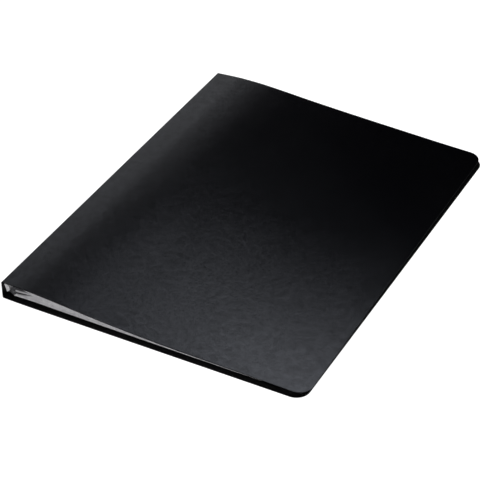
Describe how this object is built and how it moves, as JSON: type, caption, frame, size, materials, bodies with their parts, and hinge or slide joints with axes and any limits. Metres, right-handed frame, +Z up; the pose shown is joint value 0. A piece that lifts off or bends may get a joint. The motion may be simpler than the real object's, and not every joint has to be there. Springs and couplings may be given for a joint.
{
  "type": "clear pocket display book",
  "caption": "Closed soft-cover display book with a creased black plastic cover and clear top-opening pockets bound to the spine.",
  "frame": {"origin": "on the table under the middle of the closed book", "axes": "+X from the spine to the fore-edge, +Y from the foot to the head where the pockets open, +Z up through the front cover"},
  "size_m": [0.233, 0.31, 0.0159],
  "materials": {
    "cover_sheet": "fine matte grain",
    "binding_weld": "milky melted film",
    "pocket_film": "clear film with a faint grain"
  },
  "bodies": {
    "back_cover": {"back_cover": "cover_sheet"},
    "spine": {"spine_panel": "cover_sheet", "binding_strip": "binding_weld"},
    "front_cover": {"front_cover": "cover_sheet"},
    "pocket_01": {"pocket_01_front_film": "pocket_film", "pocket_01_back_film": "pocket_film"},
    "pocket_02": {"pocket_02_front_film": "pocket_film", "pocket_02_back_film": "pocket_film"},
    "pocket_03": {"pocket_03_front_film": "pocket_film", "pocket_03_back_film": "pocket_film"},
    "pocket_04": {"pocket_04_front_film": "pocket_film", "pocket_04_back_film": "pocket_film"},
    "pocket_05": {"pocket_05_front_film": "pocket_film", "pocket_05_back_film": "pocket_film"},
    "pocket_06": {"pocket_06_front_film": "pocket_film", "pocket_06_back_film": "pocket_film"},
    "pocket_07": {"pocket_07_front_film": "pocket_film", "pocket_07_back_film": "pocket_film"},
    "pocket_08": {"pocket_08_front_film": "pocket_film", "pocket_08_back_film": "pocket_film"},
    "pocket_09": {"pocket_09_front_film": "pocket_film", "pocket_09_back_film": "pocket_film"},
    "pocket_10": {"pocket_10_front_film": "pocket_film", "pocket_10_back_film": "pocket_film"},
    "pocket_11": {"pocket_11_front_film": "pocket_film", "pocket_11_back_film": "pocket_film"},
    "pocket_12": {"pocket_12_front_film": "pocket_film", "pocket_12_back_film": "pocket_film"},
    "pocket_13": {"pocket_13_front_film": "pocket_film", "pocket_13_back_film": "pocket_film"},
    "pocket_14": {"pocket_14_front_film": "pocket_film", "pocket_14_back_film": "pocket_film"},
    "pocket_15": {"pocket_15_front_film": "pocket_film", "pocket_15_back_film": "pocket_film"},
    "pocket_16": {"pocket_16_front_film": "pocket_film", "pocket_16_back_film": "pocket_film"},
    "pocket_17": {"pocket_17_front_film": "pocket_film", "pocket_17_back_film": "pocket_film"},
    "pocket_18": {"pocket_18_front_film": "pocket_film", "pocket_18_back_film": "pocket_film"},
    "pocket_19": {"pocket_19_front_film": "pocket_film", "pocket_19_back_film": "pocket_film"},
    "pocket_20": {"pocket_20_front_film": "pocket_film", "pocket_20_back_film": "pocket_film"}
  },
  "joints": [
    {"name": "spine_hinge", "type": "hinge", "parent": "back_cover", "child": "spine", "pos_m": [-0.11615, 0, 0.00035], "axis": [0, -1, 0], "range_deg": [0, 90]},
    {"name": "front_cover_hinge", "type": "hinge", "parent": "spine", "child": "front_cover", "pos_m": [-0.11615, 0, 0.01375], "axis": [0, -1, 0], "range_deg": [0, 86]},
    {"name": "pocket_01_hinge", "type": "hinge", "parent": "spine", "child": "pocket_01", "pos_m": [-0.11434, 0, 0.01245], "axis": [0, -1, 0], "range_deg": [0, 83.5]},
    {"name": "pocket_02_hinge", "type": "hinge", "parent": "spine", "child": "pocket_02", "pos_m": [-0.11399, 0, 0.01207], "axis": [0, -1, 0], "range_deg": [0, 75.1]},
    {"name": "pocket_03_hinge", "type": "hinge", "parent": "spine", "child": "pocket_03", "pos_m": [-0.11367, 0, 0.01167], "axis": [0, -1, 0], "range_deg": [0, 66.8]},
    {"name": "pocket_04_hinge", "type": "hinge", "parent": "spine", "child": "pocket_04", "pos_m": [-0.11338, 0, 0.01124], "axis": [0, -1, 0], "range_deg": [0, 58.4]},
    {"name": "pocket_05_hinge", "type": "hinge", "parent": "spine", "child": "pocket_05", "pos_m": [-0.11314, 0, 0.01079], "axis": [0, -1, 0], "range_deg": [0, 50.1]},
    {"name": "pocket_06_hinge", "type": "hinge", "parent": "spine", "child": "pocket_06", "pos_m": [-0.11293, 0, 0.01031], "axis": [0, -1, 0], "range_deg": [0, 41.8]},
    {"name": "pocket_07_hinge", "type": "hinge", "parent": "spine", "child": "pocket_07", "pos_m": [-0.11276, 0, 0.00983], "axis": [0, -1, 0], "range_deg": [0, 33.4]},
    {"name": "pocket_08_hinge", "type": "hinge", "parent": "spine", "child": "pocket_08", "pos_m": [-0.11263, 0, 0.00933], "axis": [0, -1, 0], "range_deg": [0, 25.1]},
    {"name": "pocket_09_hinge", "type": "hinge", "parent": "spine", "child": "pocket_09", "pos_m": [-0.11255, 0, 0.00882], "axis": [0, -1, 0], "range_deg": [0, 16.7]},
    {"name": "pocket_10_hinge", "type": "hinge", "parent": "spine", "child": "pocket_10", "pos_m": [-0.11251, 0, 0.00831], "axis": [0, -1, 0], "range_deg": [0, 8.4]},
    {"name": "pocket_11_hinge", "type": "hinge", "parent": "spine", "child": "pocket_11", "pos_m": [-0.11251, 0, 0.00779], "axis": [0, -1, 0], "range_deg": [-9, 0]},
    {"name": "pocket_12_hinge", "type": "hinge", "parent": "spine", "child": "pocket_12", "pos_m": [-0.11255, 0, 0.00728], "axis": [0, -1, 0], "range_deg": [-17.9, 0]},
    {"name": "pocket_13_hinge", "type": "hinge", "parent": "spine", "child": "pocket_13", "pos_m": [-0.11263, 0, 0.00677], "axis": [0, -1, 0], "range_deg": [-26.8, 0]},
    {"name": "pocket_14_hinge", "type": "hinge", "parent": "spine", "child": "pocket_14", "pos_m": [-0.11276, 0, 0.00627], "axis": [0, -1, 0], "range_deg": [-35.7, 0]},
    {"name": "pocket_15_hinge", "type": "hinge", "parent": "spine", "child": "pocket_15", "pos_m": [-0.11293, 0, 0.00579], "axis": [0, -1, 0], "range_deg": [-44.6, 0]},
    {"name": "pocket_16_hinge", "type": "hinge", "parent": "spine", "child": "pocket_16", "pos_m": [-0.11314, 0, 0.00531], "axis": [0, -1, 0], "range_deg": [-53.5, 0]},
    {"name": "pocket_17_hinge", "type": "hinge", "parent": "spine", "child": "pocket_17", "pos_m": [-0.11338, 0, 0.00486], "axis": [0, -1, 0], "range_deg": [-62.4, 0]},
    {"name": "pocket_18_hinge", "type": "hinge", "parent": "spine", "child": "pocket_18", "pos_m": [-0.11367, 0, 0.00443], "axis": [0, -1, 0], "range_deg": [-71.3, 0]},
    {"name": "pocket_19_hinge", "type": "hinge", "parent": "spine", "child": "pocket_19", "pos_m": [-0.11399, 0, 0.00403], "axis": [0, -1, 0], "range_deg": [-80.2, 0]},
    {"name": "pocket_20_hinge", "type": "hinge", "parent": "spine", "child": "pocket_20", "pos_m": [-0.11434, 0, 0.00365], "axis": [0, -1, 0], "range_deg": [-89.1, 0]}
  ],
  "couplings": [
    {"joint": "pocket_01_hinge", "follows": "front_cover_hinge", "ratio": 0.97},
    {"joint": "pocket_02_hinge", "follows": "front_cover_hinge", "ratio": 0.873},
    {"joint": "pocket_03_hinge", "follows": "front_cover_hinge", "ratio": 0.776},
    {"joint": "pocket_04_hinge", "follows": "front_cover_hinge", "ratio": 0.679},
    {"joint": "pocket_05_hinge", "follows": "front_cover_hinge", "ratio": 0.582},
    {"joint": "pocket_06_hinge", "follows": "front_cover_hinge", "ratio": 0.485},
    {"joint": "pocket_07_hinge", "follows": "front_cover_hinge", "ratio": 0.388},
    {"joint": "pocket_08_hinge", "follows": "front_cover_hinge", "ratio": 0.291},
    {"joint": "pocket_09_hinge", "follows": "front_cover_hinge", "ratio": 0.194},
    {"joint": "pocket_10_hinge", "follows": "front_cover_hinge", "ratio": 0.097},
    {"joint": "pocket_11_hinge", "follows": "spine_hinge", "ratio": -0.099},
    {"joint": "pocket_12_hinge", "follows": "spine_hinge", "ratio": -0.198},
    {"joint": "pocket_13_hinge", "follows": "spine_hinge", "ratio": -0.297},
    {"joint": "pocket_14_hinge", "follows": "spine_hinge", "ratio": -0.396},
    {"joint": "pocket_15_hinge", "follows": "spine_hinge", "ratio": -0.495},
    {"joint": "pocket_16_hinge", "follows": "spine_hinge", "ratio": -0.594},
    {"joint": "pocket_17_hinge", "follows": "spine_hinge", "ratio": -0.693},
    {"joint": "pocket_18_hinge", "follows": "spine_hinge", "ratio": -0.792},
    {"joint": "pocket_19_hinge", "follows": "spine_hinge", "ratio": -0.891},
    {"joint": "pocket_20_hinge", "follows": "spine_hinge", "ratio": -0.99}
  ]
}
